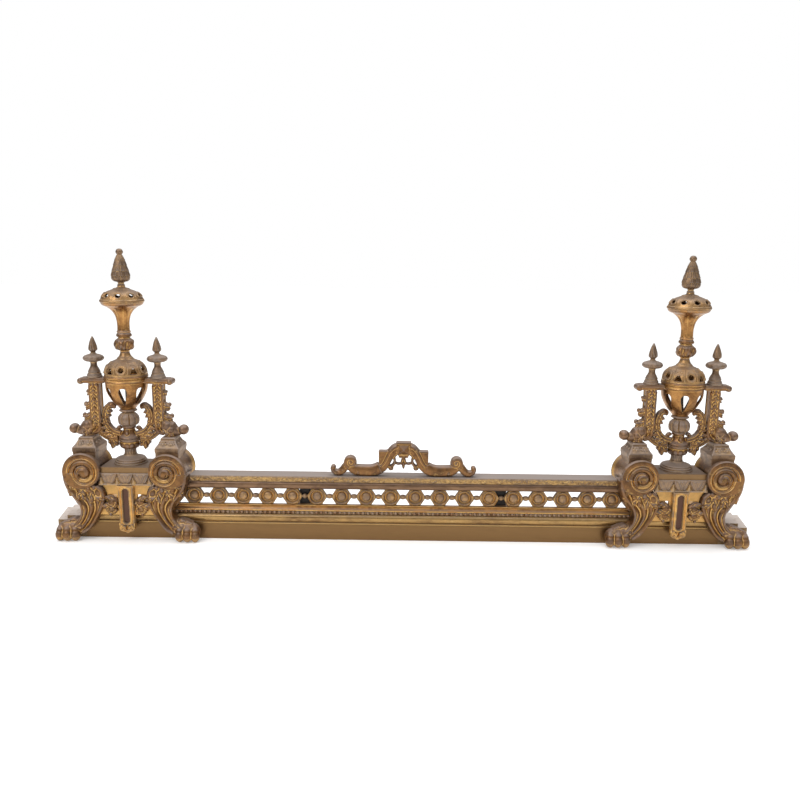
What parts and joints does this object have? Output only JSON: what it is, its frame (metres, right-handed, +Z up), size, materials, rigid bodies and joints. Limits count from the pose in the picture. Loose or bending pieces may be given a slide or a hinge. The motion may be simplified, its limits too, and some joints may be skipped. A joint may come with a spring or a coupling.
{
  "type": "hearth fender",
  "caption": "Low gilt-bronze hearth fender: urn-topped scroll pedestals on paw feet joined by a moulded base, pierced gallery and crested top rail.",
  "frame": {"origin": "floor level at the centre of the bounding box, midway between the two pedestals", "axes": "+X along the row towards the right-hand pedestal seen from the room, +Z up, the front faces -Y"},
  "size_m": [1.1, 0.087, 0.4451],
  "materials": {
    "gilt_bronze": "aged patinated gilding",
    "bright_gilt": "worn bright",
    "plinth_brass": "satin, tarnished",
    "dusty_bronze": "dull, dusty",
    "iron": "blackened",
    "rod_iron": "plain"
  },
  "bodies": {
    "root": {"base_bead_moulding": "bright_gilt", "base_plinth": "plinth_brass", "base_top_moulding": "gilt_bronze", "base_torus_moulding": "bright_gilt", "crest_arch": "gilt_bronze", "crest_left_scroll": "gilt_bronze", "crest_right_scroll": "gilt_bronze", "gallery_centre": "gilt_bronze", "gallery_left": "gilt_bronze", "gallery_right": "gilt_bronze", "left_acanthus_leaves": "gilt_bronze", "left_body": "gilt_bronze", "left_dome_cap": "gilt_bronze", "left_egg_moulding": "gilt_bronze", "left_flame_finial": "gilt_bronze", "left_inner_cap_block": "gilt_bronze", "left_inner_column": "gilt_bronze", "left_inner_leg": "gilt_bronze", "left_lyre_arms": "gilt_bronze", "left_melon_knop": "gilt_bronze", "left_neck_knop": "gilt_bronze", "left_outer_cap_block": "gilt_bronze", "left_outer_column": "gilt_bronze", "left_outer_leg": "gilt_bronze", "left_pendant_label": "gilt_bronze", "left_return": "dusty_bronze", "left_small_finials": "gilt_bronze", "left_trumpet": "gilt_bronze", "left_urn_bowl": "gilt_bronze", "left_urn_cup": "gilt_bronze", "left_urn_foot": "gilt_bronze", "left_urn_lid": "gilt_bronze", "rail_cap": "dusty_bronze", "rail_frieze": "gilt_bronze", "rail_roll_moulding": "gilt_bronze", "rear_posts": "iron", "right_acanthus_leaves": "gilt_bronze", "right_body": "gilt_bronze", "right_dome_cap": "gilt_bronze", "right_egg_moulding": "gilt_bronze", "right_flame_finial": "gilt_bronze", "right_inner_cap_block": "gilt_bronze", "right_inner_column": "gilt_bronze", "right_inner_leg": "gilt_bronze", "right_lyre_arms": "gilt_bronze", "right_melon_knop": "gilt_bronze", "right_neck_knop": "gilt_bronze", "right_outer_cap_block": "gilt_bronze", "right_outer_column": "gilt_bronze", "right_outer_leg": "gilt_bronze", "right_pendant_label": "gilt_bronze", "right_return": "dusty_bronze", "right_small_finials": "gilt_bronze", "right_trumpet": "gilt_bronze", "right_urn_bowl": "gilt_bronze", "right_urn_cup": "gilt_bronze", "right_urn_foot": "gilt_bronze", "right_urn_lid": "gilt_bronze", "tie_rods": "rod_iron"}
  },
  "joints": []
}
